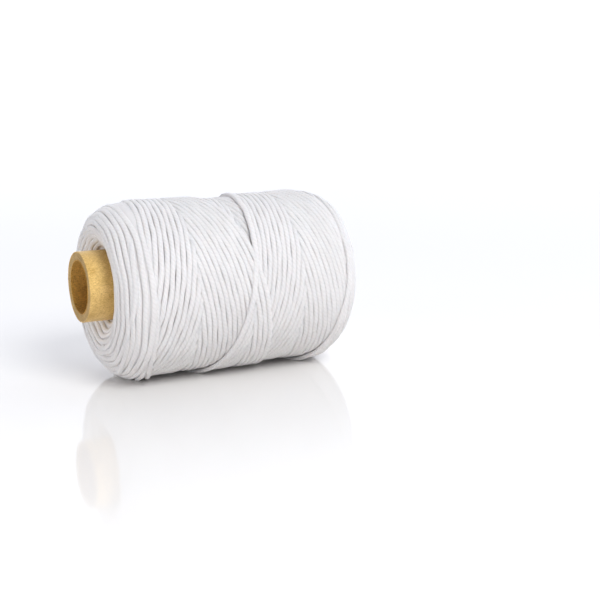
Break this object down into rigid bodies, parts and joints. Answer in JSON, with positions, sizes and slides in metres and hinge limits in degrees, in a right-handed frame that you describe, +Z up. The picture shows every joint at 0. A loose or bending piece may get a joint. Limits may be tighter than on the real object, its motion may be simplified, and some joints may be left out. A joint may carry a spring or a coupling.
{
  "type": "waxed thread spool",
  "caption": "Large spool of cross-wound white waxed cord on a spiral-wound paper tube, lying on its side.",
  "frame": {"origin": "on the surface that the spool lies on, under the middle of the tube", "axes": "+X along the spindle bore, away from the end where more of the tube shows; +Z up; +Y away from the viewer"},
  "size_m": [0.138, 0.087, 0.0866],
  "materials": {
    "cord": "satin",
    "tube_cover": "satin",
    "tube_board": "matte",
    "tube_liner": "matte"
  },
  "bodies": {
    "root": {"tube_liner_ply": "tube_liner", "tube_board_ply_1": "tube_board", "tube_board_ply_2": "tube_board", "tube_board_ply_3": "tube_board", "tube_board_ply_4": "tube_board", "tube_board_ply_5": "tube_board", "tube_cover_ply": "tube_cover", "cord_first_wraps": "cord", "cord_inner_winding": "cord", "cord_middle_winding": "cord", "cord_outer_winding": "cord", "cord_finishing_turns": "cord"}
  },
  "joints": []
}
